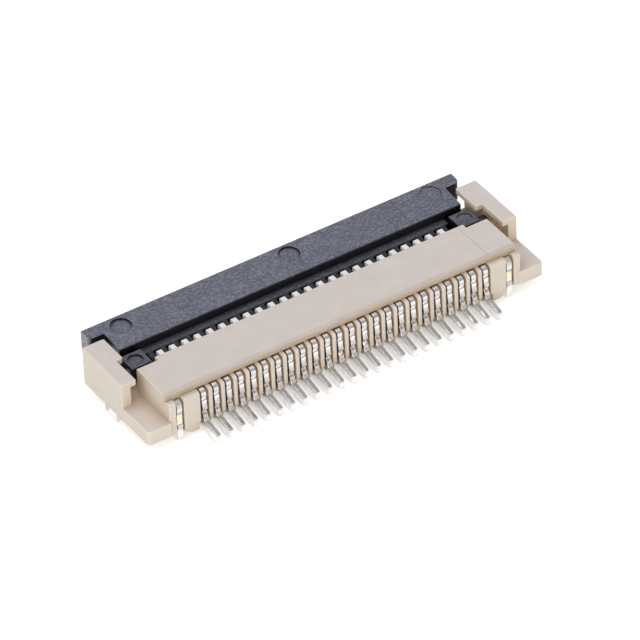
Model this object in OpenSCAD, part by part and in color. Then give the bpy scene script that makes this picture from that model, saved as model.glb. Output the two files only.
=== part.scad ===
// Right-angle surface-mount connector for a flat flexible circuit, with a flip-up lock.
// Millimetres. +X runs along the row of contacts, +Y points to the solder tails, +Z is up.
// The origin is the centre of the footprint, on the board.

/* [Contacts] */
// Number of contacts in the row
contact_count = 24; // [10:1:40]
// Distance from one contact to the next
pitch = 0.5; // [0.45:0.01:0.6]
// Thickness of the sheet that the contacts are blanked from
contact_t = 0.2; // [0.15:0.01:0.22]
// Gap between a contact's beams and each wall of its passage
contact_gap = 0.04; // [0.02:0.01:0.05]
// Width of the open channel around each contact at the back
channel_w = 0.355; // [0.3:0.005:0.36]

/* [Housing] */
// Height of the housing's top above the board
top_z = 2.0; // [1.9:0.01:2.2]
// Underside of the end plates above the board
plate_z = 0.46; // [0.4:0.01:0.5]
// Underside of the middle of the housing above the board
belly_z = 0.2; // [0.18:0.01:0.3]
// Top of the end plates above the board
plate_top_z = 1.01; // [0.95:0.01:1.05]
// Top of the rear shoulder above the board
shoulder_z = 1.75; // [1.7:0.01:1.8]
// Thickness of the flange on top of each side arm
flange_t = 0.2; // [0.15:0.01:0.25]
// Thickness of the outer wall of each side arm
arm_wall = 0.35; // [0.25:0.01:0.4]

/* [Lock] */
// Height of the lock bar's front edge above the board
bar_front_z = 1.99; // [1.9:0.01:2.0]
// Height of the lock bar's rear edge above the board
bar_rear_z = 1.84; // [1.8:0.01:1.9]
// Underside of the lock bar above the board
bar_under_z = 1.46; // [1.4:0.01:1.5]
// Underside of the ears above the board
ear_under_z = 1.15; // [1.1:0.01:1.3]
// Radius of the hinge pins
pin_r = 0.24; // [0.2:0.01:0.25]
// Gap between a hinge pin and its cradle
pin_gap = 0.02; // [0.01:0.01:0.04]

/* [Hold-downs] */
// Thickness of the hold-down plates beside the row
hold_t = 0.22; // [0.2:0.01:0.3]
// Thickness of the anchor plates in the side arms
anchor_t = 0.18; // [0.15:0.01:0.2]

/* [Hidden] */
$fn = 36;
CONTACT_NAMES = [for (i = [1:contact_count]) str("contact_", i < 10 ? "0" : "", i)];

// stations along the row, all from the middle of the row outwards
span = (contact_count - 1) * pitch;
half_span = span / 2;
x_outer = half_span + 2.32;       // outer face of the side arms
x_wall = x_outer - arm_wall;      // inner face of the arm's wall
x_cheek = half_span + 1.82;       // inner face of its thicker front part
x_flange = half_span + 1.465;     // flange edge along the wide front part
x_notch = half_span + 1.735;      // flange edge along the narrow rear part
x_block = half_span + 1.4;        // side of the block
x_hold = half_span + 0.98;        // middle of a hold-down
x_anchor = x_outer - 0.13;        // middle of an anchor plate
x_step = half_span + 0.54;        // where the block's front edge steps back
x_slot = half_span + 0.535;       // side wall of the mouth for the flexible circuit
x_bar = half_span + 1.25;         // end of the lock bar
x_ear = half_span + 1.85;         // end of the lock's ears
x_tooth = half_span + 0.35;       // end of the row of teeth
x_ledge = half_span + 0.52;       // end of the ledge behind the bar
x_knuckle = half_span + 0.57;     // inner face of a hinge knuckle
x_knuckle_out = half_span + 1.37; // outer face of a hinge knuckle
x_pin = half_span + 1.75;         // end of a hinge pin

// stations from the mouth to the tails
y_front = -2.94;
y_ear = -2.38;
y_arm_front = -2.07;
y_bar_rear = -1.41;
y_knuckle = -1.2;
y_ledge = -1.09;
y_slot = -1.06;
y_arm_step = -0.8;
y_mid_front = -0.25;
y_end_front = -0.04;
y_arm_rear = 0.47;
y_stop = 0.95;                    // where the flexible circuit ends
y_stem = 1.62;                    // front edge of the contacts' stems
y_top_rear = 1.75;
y_rear = 2.025;
y_plate_rear = 2.09;
y_toe = 2.85;

// hinge axis, knuckles and the shaft that the contacts hook over
axis_y = -0.63;
axis_z = 1.36;
knuckle_z = 1.73;
knuckle_r = 0.25;
shaft_r = 0.11;

// mouth and passages
floor_z = 0.78;
mouth_z = 1.1;
ledge_z = 1.51;
passage_w = contact_t + 2 * contact_gap;

function contact_x(i) = half_span - i * pitch;

// profile helpers: every corner of a profile is [y, z, radius]
function unit(v) = v / norm(v);
function corner_arc(p0, p1, p2, r, n) =
    let (a = unit(p0 - p1), b = unit(p2 - p1))
    let (half = acos(max(-1, min(1, a * b))) / 2)
    let (c = p1 + unit(a + b) * r / sin(half))
    let (s = p1 + a * r / tan(half) - c, e = p1 + b * r / tan(half) - c)
    let (a0 = atan2(s[1], s[0]), raw = atan2(e[1], e[0]) - a0)
    let (turn = raw > 180 ? raw - 360 : raw < -180 ? raw + 360 : raw)
    [for (k = [0:n]) c + r * [cos(a0 + turn * k / n), sin(a0 + turn * k / n)]];
function steps(r) = r < 0.07 ? 1 : r < 0.15 ? 2 : r < 0.2 ? 3 : 4;
function rounded(pts) =
    let (m = len(pts))
    [for (i = [0:m - 1])
        let (q = pts[i], p0 = pts[(i + m - 1) % m], p2 = pts[(i + 1) % m])
        each (q[2] == 0 ? [[q[0], q[1]]]
            : corner_arc([p0[0], p0[1]], [q[0], q[1]], [p2[0], p2[1]], q[2], steps(q[2])))];

// an outline in Y and Z, made solid from x0 to x1
module along_x(x0, x1, pts) {
    translate([x0, 0, 0]) rotate([90, 0, 90])
        linear_extrude(height = x1 - x0) polygon(rounded(pts));
}
// a box between two corners
module box(a, b) {
    translate(a) cube(b - a);
}
module both_ends() {
    children();
    mirror([1, 0, 0]) children();
}
module at_contacts() {
    for (i = [0:contact_count - 1]) translate([contact_x(i), 0, 0]) children();
}

// ---------------------------------------------------------------- housing
module base_plates() {
    y_rise = y_arm_front + 0.18;
    // end plates carried through under the whole housing
    translate([0, 0, plate_z]) linear_extrude(height = plate_top_z - plate_z)
        polygon(rounded([
            [-x_outer, y_arm_front, 0.05], [x_outer, y_arm_front, 0.05],
            [x_outer, y_plate_rear, 0.12], [x_block, y_plate_rear, 0.04],
            [x_block - 0.3, y_rear - 0.15, 0], [-x_block + 0.3, y_rear - 0.15, 0],
            [-x_block, y_plate_rear, 0.04], [-x_outer, y_plate_rear, 0.12]]));
    // belly, lower than the plates, and carried back to the rear face beside the row
    belly(y_rise, y_rear - 0.17);
    both_ends() intersection() {
        belly(y_rear - 0.4, y_rear);
        box([half_span + pitch / 2, 0, 0], [x_hold, y_rear, top_z]);
    }
}
// the middle of the underside, with sloping ends
module belly(y0, y1) {
    translate([0, y1, 0]) rotate([90, 0, 0]) linear_extrude(height = y1 - y0)
        polygon([[-x_slot - 0.35, plate_z + 0.1], [-x_slot - 0.35, plate_z - 0.1], [-x_slot, belly_z],
            [x_slot, belly_z], [x_slot + 0.35, plate_z - 0.1], [x_slot + 0.35, plate_z + 0.1]]);
}
module side_arm() {
    // outer wall
    along_x(x_wall, x_outer, [[y_arm_front, plate_z, 0.03], [y_arm_rear, plate_z, 0],
        [y_arm_rear, top_z, 0.04], [y_arm_front, top_z, 0.05]]);
    // flange with the notch that lets the hinge pin in
    translate([0, 0, top_z - flange_t]) linear_extrude(height = flange_t)
        polygon(rounded([[x_flange, y_arm_front, 0.04], [x_outer, y_arm_front, 0.05],
            [x_outer, y_arm_rear, 0.04], [x_notch, y_arm_rear, 0.03],
            [x_notch, y_arm_step, 0.03], [x_flange, y_arm_step, 0.06]]));
    // thicker front part of the wall, up to the hinge
    along_x(x_cheek, x_wall + 0.1, [[y_arm_front + 0.01, plate_top_z - 0.1, 0],
        [axis_y + 0.32, plate_top_z - 0.1, 0], [axis_y + 0.32, axis_z + 0.1, 0.03],
        [y_arm_step, axis_z + 0.1, 0], [y_arm_step, top_z - 0.1, 0], [y_arm_front + 0.01, top_z - 0.1, 0]]);
}
module pin_cradle() {
    difference() {
        along_x(x_knuckle_out + 0.1, x_cheek + 0.05, [[axis_y - 0.32, plate_top_z - 0.1, 0],
            [axis_y + 0.32, plate_top_z - 0.1, 0], [axis_y + 0.32, axis_z + 0.1, 0.03],
            [axis_y - 0.32, axis_z + 0.1, 0.03]]);
        translate([x_knuckle_out, axis_y, axis_z]) rotate([0, 90, 0])
            cylinder(r = pin_r + pin_gap, h = x_cheek - x_knuckle_out);
    }
}
module block() {
    // upper body, front edge stepped forward over the contacts
    along_x(-x_block, x_block, [[y_end_front, plate_top_z - 0.1, 0], [y_rear, plate_top_z - 0.1, 0],
        [y_rear, shoulder_z, 0.1], [y_top_rear + 0.01, shoulder_z, 0],
        [y_top_rear, top_z, 0.05], [y_end_front, top_z, 0.03]]);
    along_x(-x_step, x_step, [[y_mid_front, plate_top_z + 0.35, 0.04], [0.2, plate_top_z + 0.35, 0],
        [0.2, top_z, 0], [y_mid_front, top_z, 0.03]]);
    // rear wall at both ends of the row
    both_ends() along_x(half_span + pitch / 2, x_block, [[y_rear - 0.4, plate_z, 0],
        [y_rear, plate_z, 0], [y_rear, plate_top_z, 0], [y_rear - 0.4, plate_top_z, 0]]);
    // ribs between the solder tails
    along_x(-half_span - pitch / 2, half_span + pitch / 2, [[y_rear - 0.4, plate_z - 0.1, 0],
        [y_rear - 0.17, plate_z - 0.1, 0], [y_rear, plate_z + 0.06, 0],
        [y_rear, plate_top_z, 0], [y_rear - 0.4, plate_top_z, 0]]);
}
module mouth() {
    // the slot that the flexible circuit is pushed into
    along_x(-x_slot, x_slot, [[y_arm_front - 1, floor_z, 0], [y_stop, floor_z, 0],
        [y_stop, mouth_z, 0.04], [y_mid_front + 0.1, mouth_z, 0], [y_mid_front - 0.1, mouth_z + 0.12, 0],
        [y_mid_front - 0.1, top_z + 1, 0], [y_arm_front - 1, top_z + 1, 0]]);
    // lead-in along the front edge of the floor
    along_x(-x_slot, x_slot, [[y_arm_front - 0.1, floor_z - 0.28, 0],
        [y_arm_front + 0.21, floor_z + 0.01, 0], [y_arm_front - 0.1, floor_z + 0.2, 0]]);
    // lead-in at both sides of the mouth
    both_ends() translate([0, 0, floor_z]) linear_extrude(height = top_z)
        polygon([[x_slot - 0.1, y_arm_front - 0.1], [x_slot + 0.25, y_arm_front - 0.1],
            [x_slot + 0.18, y_arm_front], [x_slot, y_arm_front + 0.35], [x_slot - 0.1, y_arm_front + 0.35]]);
    // room for the knuckles in front of the block
    both_ends() box([x_knuckle - 0.03, y_arm_front - 0.1, plate_top_z],
        [x_knuckle_out + 0.1, y_end_front, top_z + 1]);
}
module contact_passage() {
    w = passage_w / 2;
    t = contact_t / 2;
    // rear channel, open to the back, the top of the shoulder and the belly
    box([-channel_w / 2, y_stem - 0.02, 0], [channel_w / 2, y_rear + 0.2, shoulder_z + 0.02]);
    // tight part that holds the contact
    box([-t, y_stop - 0.02, 0.48], [t, y_stem, 1.63]);
    // channels for the upper and the lower beam
    box([-w, y_mid_front - 0.1, 1.45], [w, y_stop + 0.05, 1.66]);
    box([-w, y_arm_front + 0.25, 0.48], [w, y_stop + 0.05, 1.0]);
}
module hold_down_passage() {
    w = hold_t / 2;
    // tight channel for the plate
    box([x_hold - w, 0.55, 0.55], [x_hold + w, y_rear, 1.35]);
    box([x_hold - w, 1.55, 0], [x_hold + w, y_rear, 1.68]);
    // wider channel at the back
    box([x_hold - w - 0.05, y_top_rear, 0],
        [x_hold + w + 0.05, y_rear + 0.2, shoulder_z + 0.02]);
}
module anchor_pocket() {
    box([x_anchor - anchor_t / 2, y_arm_front + 0.25, plate_z - 0.1],
        [x_anchor + anchor_t / 2, y_arm_rear - 0.25, plate_z + 0.4]);
}
module housing() {
    color([0.80, 0.77, 0.71]) difference() {
        union() {
            difference() {
                union() {
                    base_plates();
                    block();
                }
                mouth();
            }
            both_ends() side_arm();
            both_ends() pin_cradle();
        }
        at_contacts() contact_passage();
        both_ends() hold_down_passage();
        both_ends() anchor_pocket();
    }
}

// ---------------------------------------------------------------- contacts
// One blanked contact: a fork of two spring beams, a stem in the rear channel and a solder tail.
CONTACT = [
    // solder tail
    [1.72, 0.2, 0], [1.98, 0.12, 0], [2.38, 0, 0], [y_toe, 0, 0.04], [y_toe, 0.34, 0.12],
    [2.45, 0.41, 0.18], [2.12, 0.48, 0.05],
    // rear edge of the stem
    [2.06, 0.6, 0], [2.05, 0.72, 0], [1.985, 0.8, 0], [1.985, 0.86, 0], [2.03, 0.94, 0],
    [2.03, 1.04, 0], [2.005, 1.16, 0], [2.005, 1.31, 0], [1.965, 1.34, 0], [1.965, 1.39, 0],
    [2.0, 1.42, 0], [2.0, 1.73, 0.18], [y_stem, 1.73, 0],
    // upper beam, hooked over the lock's shaft
    [y_stem, 1.61, 0], [-0.93, 1.61, 0.05], [-0.93, 1.4, 0.03], [-0.82, 1.4, 0], [-0.78, 1.5, 0],
    [1.0, 1.5, 0.06],
    // lower beam
    [1.0, 0.74, 0.06], [-1.0, 0.72, 0], [-1.22, 0.83, 0], [-1.36, 0.83, 0], [-1.6, 0.68, 0],
    [-1.7, 0.54, 0], [0.9, 0.5, 0], [1.66, 0.5, 0.05]];

module contact(i) {
    color([0.82, 0.82, 0.83]) translate([contact_x(i), 0, 0])
        along_x(-contact_t / 2, contact_t / 2, CONTACT);
}

// ---------------------------------------------------------------- hold-downs
HOLD = [
    [1.68, 0, 0.05], [1.975, 0, 0.1], [1.975, 0.52, 0], [2.0, 0.58, 0], [2.0, 0.68, 0], [1.965, 0.72, 0],
    [1.965, 1.12, 0], [1.99, 1.17, 0], [1.99, 1.66, 0.2], [1.6, 1.66, 0], [1.6, 1.35, 0],
    [0.6, 1.3, 0.06], [0.6, 0.6, 0.06], [1.68, 0.6, 0]];

module hold_down() {
    color([0.83, 0.81, 0.76]) along_x(x_hold - hold_t / 2, x_hold + hold_t / 2, HOLD);
}
module hold_down_left() {
    hold_down();
}
module hold_down_right() {
    mirror([1, 0, 0]) hold_down();
}

// ---------------------------------------------------------------- anchors
// A plate let into the underside of a side arm, with two solder feet.
ANCHOR = [
    [-1.82, 0.46, 0], [-1.82, 0.86, 0.05], [0.22, 0.86, 0.05], [0.22, 0.46, 0],
    [-0.09, 0.46, 0.03], [-0.09, 0, 0.08], [-0.52, 0, 0.08], [-0.52, 0.46, 0.03],
    [-0.81, 0.46, 0.03], [-0.81, 0, 0.08], [-1.24, 0, 0.08], [-1.24, 0.46, 0.03]];

module anchor() {
    color([0.83, 0.81, 0.76]) along_x(x_anchor - anchor_t / 2, x_anchor + anchor_t / 2, ANCHOR);
}
module anchor_left() {
    anchor();
}
module anchor_right() {
    mirror([1, 0, 0]) anchor();
}

// ---------------------------------------------------------------- lock lever
module lock_bar() {
    intersection() {
        union() {
            // bar with a sloping top
            along_x(-x_ear, x_ear, [[y_front, bar_under_z + 0.06, 0.04], [y_front + 0.12, bar_under_z, 0],
                [y_bar_rear, bar_under_z, 0], [y_bar_rear, bar_rear_z, 0.03], [y_front, bar_front_z, 0.04]]);
            // deeper ears in front of the side arms
            both_ends() along_x(x_bar, x_ear, [[y_front, ear_under_z, 0.06], [y_ear, ear_under_z, 0.06],
                [y_ear, bar_under_z + 0.1, 0], [y_front, bar_under_z + 0.1, 0]]);
        }
        // outline from above
        translate([0, 0, 1]) linear_extrude(height = 2)
            polygon(rounded([[-x_ear, y_front - 1, 0], [x_ear, y_front - 1, 0], [x_ear, y_ear, 0.18],
                [x_bar, y_ear, 0.03], [x_bar, 0, 0], [-x_bar, 0, 0],
                [-x_bar, y_ear, 0.03], [-x_ear, y_ear, 0.18]]));
    }
}
module comb() {
    under = mouth_z - 0.02;
    // ledge behind the bar, with the pressing edge under it
    along_x(-x_ledge, x_ledge, [[y_bar_rear - 0.2, bar_under_z + 0.02, 0], [y_bar_rear - 0.1, under + 0.1, 0],
        [y_bar_rear + 0.05, under, 0], [y_ledge, under, 0], [y_ledge, ledge_z, 0.03],
        [y_bar_rear - 0.2, ledge_z, 0]]);
    // teeth that reach between the contacts to the shaft
    along_x(-x_tooth, x_tooth, [[y_ledge - 0.1, under, 0], [y_ledge + 0.2, under, 0],
        [axis_y, axis_z - shaft_r + 0.01, 0], [axis_y, axis_z + shaft_r - 0.01, 0],
        [axis_y - 0.22, ledge_z - 0.05, 0], [y_ledge, ledge_z, 0], [y_ledge - 0.1, ledge_z, 0]]);
}
module hinge_knuckle() {
    // knuckle with a flat top and a round back
    along_x(x_knuckle, x_knuckle_out, [[y_knuckle, axis_z - knuckle_r, 0.04],
        [axis_y + knuckle_r, axis_z - knuckle_r, knuckle_r - 0.01],
        [axis_y + knuckle_r, knuckle_z, 0.1], [y_knuckle, knuckle_z, 0.03]]);
    // link to the bar, in the bottom of the groove
    along_x(x_ledge - 0.05, x_bar, [[y_bar_rear - 0.3, bar_under_z + 0.05, 0],
        [y_bar_rear - 0.15, axis_z - knuckle_r, 0.05], [y_knuckle + 0.1, axis_z - knuckle_r, 0],
        [y_knuckle + 0.1, axis_z - 0.08, 0], [y_bar_rear, axis_z - 0.08, 0.03],
        [y_bar_rear, bar_under_z + 0.05, 0]]);
    // pin
    translate([x_knuckle_out - 0.1, axis_y, axis_z]) rotate([0, 90, 0])
        cylinder(r = pin_r, h = x_pin - x_knuckle_out + 0.1);
}
// shallow round mark left in the moulding by an ejector
module round_mark(x, y, z, r, depth) {
    translate([x, y, z - depth]) cylinder(r = r, h = 0.3, $fn = 28);
}
module lock_lever() {
    slope = atan((bar_front_z - bar_rear_z) / (y_bar_rear - y_front));
    color([0.24, 0.24, 0.27]) difference() {
        union() {
            lock_bar();
            difference() {
                comb();
                at_contacts() box([-0.15, y_slot, 1], [0.15, axis_y + 0.5, 1.7]);
            }
            // shaft that the upper beams of the contacts hook over
            translate([-x_knuckle - 0.05, axis_y, axis_z]) rotate([0, 90, 0])
                cylinder(r = shaft_r, h = 2 * x_knuckle + 0.1, $fn = 14);
            both_ends() hinge_knuckle();
        }
        // round marks on the knuckles and on the sloping top of the bar
        round_mark(x_knuckle + 0.42, axis_y - 0.16, knuckle_z, 0.285, 0.07);
        round_mark(-x_knuckle - 0.42, axis_y - 0.16, knuckle_z, 0.285, 0.035);
        for (mark = [[6.3, 0.09], [-0.54, 0.08], [-6.4, 0.035]])
            translate([mark[0], y_front + 0.53, bar_front_z - 0.53 * tan(slope)]) rotate([-slope, 0, 0])
                round_mark(0, 0, 0, 0.39, mark[1]);
    }
}

housing();
lock_lever();
hold_down_left();
hold_down_right();
anchor_left();
anchor_right();
for (i = [0:contact_count - 1]) contact(i);
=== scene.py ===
"""FPC connector, 24 ways at 0.5 mm: finishes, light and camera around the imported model."""

import bpy
from mathutils import Matrix, Vector

MM = 0.001

# Places on the part that the finishes follow, in the CAD frame.
PITCH = 0.5 * MM
HOUSING_TOP = 2.0 * MM
SHOULDER_REAR = 2.025 * MM
PLATE_TOP = 0.85 * MM
TAIL_TOP = 0.5 * MM
TIP_END = 0.3 * MM
BAR_REAR = -1.41 * MM
LEDGE_TOP = 1.51 * MM
LEDGE_REAR = -1.09 * MM
KNUCKLE_TOP = 1.73 * MM
KNUCKLE_INNER = 6.3 * MM
EAR_INNER = 7.3 * MM

# Where the mould was split across the block and across the lock's bar.
BLOCK_LINES = (-6.05 * MM,)
BAR_LINES = (-2.06 * MM, -5.0 * MM)

# The small radius that moulding or blanking leaves on edges that bend by more than an angle in radians.
MOULDED_EDGE = 0.02 * MM
BLANKED_EDGE = 0.03 * MM
EDGE_ANGLE = 0.6
WELD_DISTANCE = 0.001 * MM

# How many features each noise pattern has per metre.
FINE_GRAIN = 14000
COARSE_GRAIN = 4200
CLOUDS = 1500
FIBRES = 15000
TIN_CLOUDS = 5200
FITTING_CLOUDS = 4200
BLANKING_GRAIN = 16000

# How far the recess mask looks for other surfaces.
HOUSING_REACH = 0.7 * MM
LOCK_REACH = 0.5 * MM
METAL_REACH = 0.25 * MM

# The ground: its size, its drop below the part, its grey and the glow that makes it white.
GROUND_SIZE = 4.0
GROUND_DROP = 0.01 * MM
GROUND_GREY = 0.9
GROUND_GLOW = 0.5

# Soft boxes: name, place, side in metres and power in watts. The white room adds a plain level.
SOFT_BOXES = (
    ("over", (0.02, -0.05, 0.30), 0.30, 0.29),
    ("side", (0.30, 0.12, 0.16), 0.22, 0.30),
    ("rear", (0.04, 0.32, 0.12), 0.20, 0.32),
)
ROOM_LEVEL = 0.5

# The camera: its place in metres, its axes, and its lens and sensor in millimetres.
CAMERA_PLACE = (0.10196, 0.16701, 0.15657)
CAMERA_RIGHT = (-0.83794, 0.54468, -0.03445)
CAMERA_UP = (-0.36221, -0.50778, 0.78164)
CAMERA_BACK = (0.40825, 0.66745, 0.62277)
FOCAL_LENGTH = 409.24
SENSOR_WIDTH = 36.0
NEAREST = 0.01
FARTHEST = 10.0

WHITE = (1.0, 1.0, 1.0)

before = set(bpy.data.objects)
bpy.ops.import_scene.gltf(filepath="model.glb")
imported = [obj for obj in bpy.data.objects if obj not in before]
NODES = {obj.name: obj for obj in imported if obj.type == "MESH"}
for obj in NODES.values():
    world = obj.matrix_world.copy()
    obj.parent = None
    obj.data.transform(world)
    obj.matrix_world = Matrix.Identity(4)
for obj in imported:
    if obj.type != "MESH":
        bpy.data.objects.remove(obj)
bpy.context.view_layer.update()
CONTACTS = sorted(name for name in NODES if name.startswith("contact_"))
FITTINGS = ["hold_down_left", "hold_down_right", "anchor_left", "anchor_right"]


# ---------------------------------------------------------------- node helpers
def srgb(r, g, b):
    """A colour given as 0-255 screen values, as linear light."""
    return tuple(((c / 255 + 0.055) / 1.055) ** 2.4 for c in (r, g, b))


def add(tree, kind, values=None, links=None, **settings):
    """A node with its settings, its socket values and its incoming links."""
    node = tree.nodes.new(kind)
    for key, value in settings.items():
        setattr(node, key, value)
    for key, value in (values or {}).items():
        node.inputs[key].default_value = value
    for key, source in (links or {}).items():
        tree.links.new(source, node.inputs[key])
    return node


def calc(tree, operation, a, b=None):
    """The result of a Math node: each operand is a number or a socket."""
    node = add(tree, "ShaderNodeMath", operation=operation)
    for place, operand in enumerate((a, b)):
        if operand is None:
            continue
        if isinstance(operand, (int, float)):
            node.inputs[place].default_value = operand
        else:
            tree.links.new(operand, node.inputs[place])
    return node.outputs[0]


def above(tree, value, limit):
    """A mask that is 1 where the value is over the limit."""
    return calc(tree, "GREATER_THAN", value, limit)


def below(tree, value, limit):
    """A mask that is 1 where the value is under the limit."""
    return calc(tree, "LESS_THAN", value, limit)


def both(tree, a, b):
    """One mask times another mask or a number."""
    return calc(tree, "MULTIPLY", a, b)


def split(tree, vector):
    """The X, Y and Z outputs of a vector."""
    return add(tree, "ShaderNodeSeparateXYZ", links={"Vector": vector}).outputs


def noise(tree, vector, scale, detail, roughness=0.55, distortion=0.0, stretch=(1, 1, 1)):
    """A noise pattern with features about 1/scale metres across."""
    place = add(tree, "ShaderNodeMapping", {"Scale": stretch}, {"Vector": vector})
    values = {"Scale": scale, "Detail": detail, "Roughness": roughness, "Distortion": distortion}
    return add(tree, "ShaderNodeTexNoise", values, {"Vector": place.outputs[0]}).outputs["Fac"]


def ramp(tree, factor, stops):
    """A colour ramp: stops are (position, grey or colour)."""
    node = add(tree, "ShaderNodeValToRGB", links={"Fac": factor})
    elements = node.color_ramp.elements
    while len(elements) < len(stops):
        elements.new(0.5)
    for element, (position, value) in zip(elements, stops):
        element.position = position
        colour = (value, value, value) if isinstance(value, (int, float)) else value
        element.color = (*colour, 1.0)
    return node.outputs["Color"]


def blend(tree, factor, a, b, kind="MIX"):
    """Mixes two colours: each is a socket or a fixed colour."""
    node = add(tree, "ShaderNodeMix", data_type="RGBA", blend_type=kind)
    for socket, value in ((node.inputs[0], factor), (node.inputs[6], a), (node.inputs[7], b)):
        if isinstance(value, bpy.types.NodeSocket):
            tree.links.new(value, socket)
        else:
            socket.default_value = value if isinstance(value, (int, float)) else (*value, 1.0)
    return node.outputs[2]


def tinted(tree, colour, tint, amount=1.0):
    """A colour multiplied by a tint, as far as the amount says."""
    return blend(tree, amount, colour, tint, "MULTIPLY")


def bump(tree, height, distance, strength):
    """The normal of a surface with fine relief."""
    settings = {"Distance": distance, "Strength": strength}
    return add(tree, "ShaderNodeBump", settings, {"Height": height}).outputs["Normal"]


def witness_line(tree, x, places, half_width):
    """A mask that is 1 on fine lines across the moulding, where its mould was split."""
    total = None
    for place in places:
        offset = calc(tree, "ABSOLUTE", calc(tree, "SUBTRACT", x, place))
        line = below(tree, offset, half_width)
        total = line if total is None else calc(tree, "MAXIMUM", total, line)
    return total


def group(name, inputs, outputs):
    """An empty node group with its sockets; returns the tree, its input node and its output node."""
    tree = bpy.data.node_groups.new(name, "ShaderNodeTree")
    for socket, kind, value in inputs:
        made = tree.interface.new_socket(socket, in_out="INPUT", socket_type=kind)
        if value is not None:
            made.default_value = value
    for socket, kind in outputs:
        tree.interface.new_socket(socket, in_out="OUTPUT", socket_type=kind)
    return tree, tree.nodes.new("NodeGroupInput"), tree.nodes.new("NodeGroupOutput")


def new_material(name, roughness):
    """An empty material: its tree and its Principled shader."""
    material = bpy.data.materials.new(name)
    material.use_nodes = True
    tree = material.node_tree
    shader = tree.nodes["Principled BSDF"]
    shader.inputs["Roughness"].default_value = roughness
    return material, tree, shader


# ---------------------------------------------------------------- shared effects
def make_recess():
    """1 on open surfaces, falling to 0 deep in slots and corners."""
    inputs = [("Reach", "NodeSocketFloat", 0.5 * MM)]
    tree, given, out = group("recess", inputs, [("Open", "NodeSocketFloat")])
    reach = {"Distance": given.outputs["Reach"]}
    occlusion = add(tree, "ShaderNodeAmbientOcclusion", links=reach, samples=12)
    tree.links.new(occlusion.outputs["AO"], out.inputs["Open"])
    return tree


def make_grain():
    """Fine eroded texture of a moulded skin: a height for bump and a cloudy mask."""
    outputs = [("Height", "NodeSocketFloat"), ("Cloud", "NodeSocketFloat")]
    tree, given, out = group("moulded_grain", [("Vector", "NodeSocketVector", None)], outputs)
    vector = given.outputs["Vector"]
    fine = calc(tree, "MULTIPLY", noise(tree, vector, FINE_GRAIN, detail=3), 0.6)
    coarse = calc(tree, "MULTIPLY", noise(tree, vector, COARSE_GRAIN, detail=4, distortion=0.6), 0.4)
    cloud = noise(tree, vector, CLOUDS, detail=5, roughness=0.6, stretch=(0.8, 1, 1))
    tree.links.new(calc(tree, "ADD", fine, coarse), out.inputs["Height"])
    tree.links.new(cloud, out.inputs["Cloud"])
    return tree


RECESS = make_recess()
GRAIN = make_grain()


def openness(tree, reach):
    """The recess mask: 1 on open surfaces, 0 deep in slots."""
    return add(tree, "ShaderNodeGroup", {"Reach": reach}, node_tree=RECESS).outputs["Open"]


def moulded_grain(tree, position):
    """The outputs of the shared moulded skin."""
    return add(tree, "ShaderNodeGroup", links={"Vector": position}, node_tree=GRAIN).outputs


# ---------------------------------------------------------------- finishes
def housing_resin():
    """Pale warm nylon that light spreads in, with painted tan shade in its recesses, brownish painted shade
    on its rear shoulder and painted shade on the tops of the end plates.
    """
    material, tree, shader = new_material("housing_resin", 0.5)
    coords = tree.nodes.new("ShaderNodeTexCoord")
    position = coords.outputs["Object"]
    place = split(tree, position)
    facing = split(tree, coords.outputs["Normal"])
    grain = moulded_grain(tree, position)

    clouding = [(0.3, srgb(216, 205, 199)), (0.5, srgb(216, 208, 202)), (0.7, srgb(222, 211, 207))]
    # Painted shade: a warm tan darkening where the recess mask finds slots and corners.
    recess_shade_tints = [(0.0, srgb(248, 232, 214)), (0.45, srgb(232, 219, 203)),
                    (0.85, srgb(251, 247, 241)), (1.0, WHITE)]
    upright = ramp(tree, facing["Z"], [(0.2, 1.0), (0.7, 0.0)])
    colour = blend(tree, upright, ramp(tree, grain["Cloud"], clouding), srgb(224, 214, 200))
    colour = tinted(tree, colour, ramp(tree, openness(tree, HOUSING_REACH), recess_shade_tints))

    # Painted shade on the shoulder over the contact row, then on the tops of the end plates, which sit in
    # the shade of the walls.
    depth_stops = [(0.78, 0.0), (0.86, 1.0), (0.885, 1.0), (0.90, 0.2), (1.0, 0.1)]
    at_shoulder = ramp(tree, calc(tree, "DIVIDE", place["Y"], SHOULDER_REAR), depth_stops)
    near_top = ramp(tree, calc(tree, "DIVIDE", place["Z"], HOUSING_TOP), [(0.80, 0.0), (0.86, 1.0)])
    colour = tinted(tree, colour, srgb(228, 223, 216), both(tree, at_shoulder, near_top))
    on_plate = both(tree, below(tree, place["Z"], PLATE_TOP), above(tree, facing["Z"], 0.7))
    colour = tinted(tree, colour, srgb(226, 220, 210), on_plate)

    on_top = above(tree, place["Z"], HOUSING_TOP - 0.03 * MM)
    line = witness_line(tree, place["X"], BLOCK_LINES, half_width=0.014 * MM)
    colour = blend(tree, both(tree, both(tree, line, on_top), 0.35), colour, srgb(120, 108, 98))
    tree.links.new(colour, shader.inputs["Base Color"])
    tree.links.new(bump(tree, grain["Height"], 0.012 * MM, 0.35), shader.inputs["Normal"])
    shader.inputs["Subsurface Weight"].default_value = 0.9
    shader.inputs["Subsurface Radius"].default_value = (1.0, 0.88, 0.74)
    shader.inputs["Subsurface Scale"].default_value = 0.12 * MM
    return material


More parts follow.
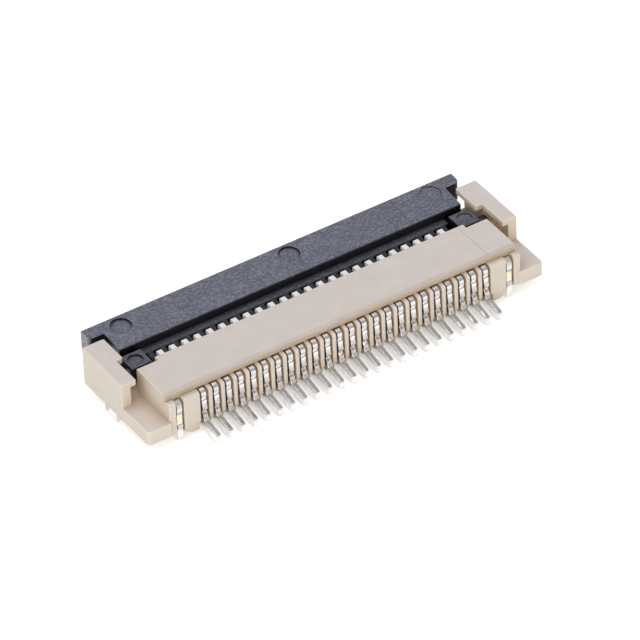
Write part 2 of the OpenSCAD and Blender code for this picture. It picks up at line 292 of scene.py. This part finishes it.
def lock_resin():
    """Glass-filled black resin: eroded and mottled on top, where it is painted lighter grey as a painted
    sheen, with painted shade on the ledge, the knuckles, the teeth and in slots; polished and dark at the
    sides, with a painted highlight on the ends of the ears.
    """
    material, tree, shader = new_material("lock_resin", 0.42)
    coords = tree.nodes.new("ShaderNodeTexCoord")
    position = coords.outputs["Object"]
    place = split(tree, position)
    facing = split(tree, coords.outputs["Normal"])
    grain = moulded_grain(tree, position)
    fibres = noise(tree, position, FIBRES, detail=3, roughness=0.6, distortion=0.5, stretch=(0.6, 1, 1))

    # Faces that look up: the mottled eroded top, painted lighter grey as a painted sheen of the bright room
    # above. Painted shade darkens the ledge, the knuckles and above all the teeth, which sit in shade.
    mottling = [(0.33, srgb(68, 68, 82)), (0.5, srgb(97, 98, 113)), (0.68, srgb(150, 152, 170))]
    patches = [(0.32, srgb(86, 87, 100)), (0.5, srgb(99, 100, 115)), (0.68, srgb(114, 116, 134))]
    skin_and_sheen = blend(tree, 0.4, ramp(tree, fibres, mottling), ramp(tree, grain["Cloud"], patches))
    on_ledge = below(tree, place["Z"], LEDGE_TOP + 0.04 * MM)
    behind_ledge = above(tree, place["Y"], LEDGE_REAR - 0.02 * MM)
    past_teeth = above(tree, calc(tree, "ABSOLUTE", place["X"]), KNUCKLE_INNER)
    on_knuckle = below(tree, place["Z"], KNUCKLE_TOP + 0.03 * MM)
    on_teeth = calc(tree, "SUBTRACT", behind_ledge, past_teeth)
    painted_shade_mix = calc(tree, "MAXIMUM", both(tree, on_ledge, 0.38), both(tree, on_teeth, 0.97))
    painted_shade_mix = calc(tree, "MAXIMUM", painted_shade_mix, both(tree, on_knuckle, 0.32))
    skin_and_sheen = blend(tree, painted_shade_mix, skin_and_sheen, srgb(24, 25, 30))

    # Upright faces: the resin's own dark, and a painted grey highlight on the ends of the ears, where the
    # side light falls.
    dark_stops = [(0.35, srgb(18, 19, 22)), (0.5, srgb(23, 24, 27)), (0.66, srgb(34, 35, 41))]
    ear_highlight_stops = [(0.35, srgb(96, 98, 104)), (0.5, srgb(126, 128, 134)), (0.66, srgb(164, 166, 171))]
    sideways = ramp(tree, calc(tree, "ABSOLUTE", facing["X"]), [(0.55, 0.0), (0.9, 1.0)])
    on_ear = above(tree, calc(tree, "ABSOLUTE", place["X"]), EAR_INNER)
    ear_end = both(tree, sideways, on_ear)
    flank = blend(tree, ear_end, ramp(tree, fibres, dark_stops), ramp(tree, fibres, ear_highlight_stops))

    upward = ramp(tree, facing["Z"], [(0.55, 0.0), (0.9, 1.0)])
    slot_shade = ramp(tree, openness(tree, LOCK_REACH), [(0.2, 0.02), (0.55, 0.35), (0.85, 1.0)])
    colour = tinted(tree, blend(tree, upward, flank, skin_and_sheen), slot_shade)
    on_bar = below(tree, place["Y"], BAR_REAR)
    line = witness_line(tree, place["X"], BAR_LINES, half_width=0.018 * MM)
    colour = blend(tree, both(tree, both(tree, line, on_bar), 0.4), colour, srgb(28, 29, 34))
    tree.links.new(colour, shader.inputs["Base Color"])
    tree.links.new(bump(tree, grain["Height"], 0.015 * MM, 0.5), shader.inputs["Normal"])
    return material


def metal_shade_and_grain(tree, shader, position, colour, open_from):
    """Painted warm shade in the corners, and the fine grain of blanked strip."""
    # Painted shade: warmer and darker where the recess mask finds corners.
    corners = ramp(tree, openness(tree, METAL_REACH), open_from)
    grain = noise(tree, position, BLANKING_GRAIN, detail=2, stretch=(1, 0.3, 0.3))
    tree.links.new(bump(tree, grain, 0.006 * MM, 0.35), shader.inputs["Normal"])
    return tinted(tree, colour, corners)


def contact_plating():
    """Tin on the contacts: tips in the mouth painted matt white as a painted highlight, stems painted in
    highlight bands, tail tops painted grey in lines along them as a painted reflection.
    """
    material, tree, shader = new_material("contact_plating", 0.27)
    coords = tree.nodes.new("ShaderNodeTexCoord")
    position = coords.outputs["Object"]
    place = split(tree, position)
    facing = split(tree, coords.outputs["Normal"])
    height = calc(tree, "DIVIDE", place["Z"], HOUSING_TOP)
    # Runs from 0 to 1 across each contact's pitch, with the middle of the contact at 0.5.
    across = calc(tree, "FRACT", calc(tree, "DIVIDE", place["X"], PITCH))

    # Stems: cloudy plating, with painted highlight bands by height where the bends catch the light, and a
    # painted reflection of the warm housing in a window halfway up, warm on one half and greyer on the
    # other.
    highlight_bands = [(0.02, 0.84), (0.08, 0.92), (0.15, 0.94), (0.19, 0.66), (0.25, 0.88), (0.33, 0.62),
              (0.36, 0.84), (0.50, 0.84), (0.535, 0.58), (0.58, 0.72), (0.61, 0.98), (0.71, 0.95),
              (0.745, 0.56), (0.79, 0.84)]
    plating = [(0.35, (0.80, 0.78, 0.76)), (0.65, (0.92, 0.91, 0.90))]
    stem = ramp(tree, noise(tree, position, TIN_CLOUDS, detail=3), plating)
    stem = tinted(tree, stem, ramp(tree, height, highlight_bands))
    reflection_window = ramp(tree, height, [(0.35, 0.0), (0.37, 1.0), (0.50, 1.0), (0.52, 0.0)])
    stem = tinted(tree, stem, srgb(255, 236, 220), both(tree, reflection_window, below(tree, across, 0.52)))
    stem = tinted(tree, stem, srgb(218, 211, 204), both(tree, reflection_window, above(tree, across, 0.52)))

    # Tails: tops painted grey in lines along them, a painted reflection of the dimmer room above. Tips:
    # painted matt and white, a painted highlight where they catch the light.
    lines = [(0.30, 0.36), (0.38, 0.54), (0.52, 0.52), (0.58, 0.74), (0.64, 0.86), (0.70, 0.66)]
    upward = ramp(tree, facing["Z"], [(0.5, 0.0), (0.9, 1.0)])
    on_tail = both(tree, upward, below(tree, place["Z"], TAIL_TOP))
    colour = blend(tree, on_tail, stem, ramp(tree, across, lines))
    colour = metal_shade_and_grain(tree, shader, position, colour, [(0.0, srgb(230, 208, 186)), (0.7, WHITE)])
    tip = below(tree, place["Y"], TIP_END)
    colour = blend(tree, tip, colour, srgb(253, 252, 250))
    metallic = calc(tree, "SUBTRACT", 1.0, both(tree, tip, 0.95))
    tree.links.new(colour, shader.inputs["Base Color"])
    tree.links.new(metallic, shader.inputs["Metallic"])
    return material


def fitting_plating():
    """Bright plating of the solder fittings, made warm halfway up by a painted reflection of the housing,
    with painted highlight bands by height and painted shade in the corners.
    """
    material, tree, shader = new_material("fitting_plating", 0.3)
    coords = tree.nodes.new("ShaderNodeTexCoord")
    position = coords.outputs["Object"]
    height = calc(tree, "DIVIDE", split(tree, position)["Z"], HOUSING_TOP)

    # Painted highlight bands by height where the bends catch the light, and a painted warm reflection of the
    # housing halfway up.
    highlight_bands = [(0.2, 1.0), (0.3, 0.6), (0.36, 0.9), (0.55, 0.9), (0.6, 0.5), (0.66, 0.95),
              (0.74, 0.6), (0.8, 0.9)]
    plating = [(0.35, (0.76, 0.74, 0.72)), (0.65, (0.88, 0.86, 0.84))]
    reflection_window = ramp(tree, height, [(0.35, 0.0), (0.38, 1.0), (0.55, 1.0), (0.58, 0.0)])
    colour = ramp(tree, noise(tree, position, FITTING_CLOUDS, detail=3), plating)
    colour = blend(tree, reflection_window, colour, (0.94, 0.82, 0.62))
    colour = tinted(tree, colour, ramp(tree, height, highlight_bands))
    colour = metal_shade_and_grain(tree, shader, position, colour, [(0.0, srgb(214, 176, 140)), (0.6, WHITE)])
    tree.links.new(colour, shader.inputs["Base Color"])
    shader.inputs["Metallic"].default_value = 1.0
    return material


def finish_node(name, material, edge):
    """Gives a CAD node its material, and the small radius that moulding or blanking leaves."""
    piece = NODES[name]
    piece.data.materials.clear()
    piece.data.materials.append(material)
    weld = piece.modifiers.new("weld", "WELD")
    weld.merge_threshold = WELD_DISTANCE
    bevel = piece.modifiers.new("edge_radius", "BEVEL")
    bevel.width = edge
    bevel.segments = 2
    bevel.limit_method = "ANGLE"
    bevel.angle_limit = EDGE_ANGLE
    bevel.harden_normals = False


def dress_part():
    """Puts every finish on its nodes."""
    for names, material, edge in (
        (["housing"], housing_resin(), MOULDED_EDGE),
        (["lock_lever"], lock_resin(), MOULDED_EDGE),
        (CONTACTS, contact_plating(), BLANKED_EDGE),
        (FITTINGS, fitting_plating(), BLANKED_EDGE),
    ):
        for name in names:
            finish_node(name, material, edge)


# ---------------------------------------------------------------- stage, light and camera
def stage_floor():
    """A white ground far larger than the part, which keeps the part's soft shadow."""
    bpy.ops.mesh.primitive_plane_add(size=GROUND_SIZE, location=(0, 0, -GROUND_DROP))
    floor = bpy.context.object
    floor.name = "ground"
    material, tree, shader = new_material("ground_white", 0.9)
    shader.inputs["Base Color"].default_value = (GROUND_GREY, GROUND_GREY, GROUND_GREY, 1)
    shader.inputs["Specular IOR Level"].default_value = 0.0
    path = tree.nodes.new("ShaderNodeLightPath")
    seen = calc(tree, "MAXIMUM", path.outputs["Is Camera Ray"], path.outputs["Is Glossy Ray"])
    glow = add(tree, "ShaderNodeEmission", {"Color": (*WHITE, 1)},
               {"Strength": both(tree, seen, GROUND_GLOW)})
    mix = tree.nodes.new("ShaderNodeAddShader")
    tree.links.new(shader.outputs["BSDF"], mix.inputs[0])
    tree.links.new(glow.outputs["Emission"], mix.inputs[1])
    tree.links.new(mix.outputs["Shader"], tree.nodes["Material Output"].inputs["Surface"])
    floor.data.materials.append(material)


def soft_light(name, place, side, power):
    """A square soft box that faces the part."""
    data = bpy.data.lights.new(name, "AREA")
    data.shape = "SQUARE"
    data.size = side
    data.energy = power
    light = bpy.data.objects.new(name, data)
    bpy.context.collection.objects.link(light)
    light.location = place
    light.rotation_euler = (-Vector(place)).to_track_quat("-Z", "Y").to_euler()


def studio():
    """Three soft boxes in a white room."""
    for name, place, side, power in SOFT_BOXES:
        soft_light(name, place, side, power)
    world = bpy.data.worlds.new("studio_white")
    world.use_nodes = True
    background = world.node_tree.nodes["Background"]
    background.inputs["Color"].default_value = (*WHITE, 1)
    background.inputs["Strength"].default_value = ROOM_LEVEL
    bpy.context.scene.world = world


def camera():
    """A long lens that looks down on the part from its tail side."""
    data = bpy.data.cameras.new("camera")
    data.lens = FOCAL_LENGTH
    data.sensor_width = SENSOR_WIDTH
    data.clip_start = NEAREST
    data.clip_end = FARTHEST
    cam = bpy.data.objects.new("camera", data)
    bpy.context.collection.objects.link(cam)
    axes = Matrix((CAMERA_RIGHT, CAMERA_UP, CAMERA_BACK)).transposed()
    cam.matrix_world = Matrix.Translation(CAMERA_PLACE) @ axes.to_4x4()
    bpy.context.scene.camera = cam


dress_part()
stage_floor()
studio()
camera()
bpy.context.scene.view_settings.view_transform = "Standard"
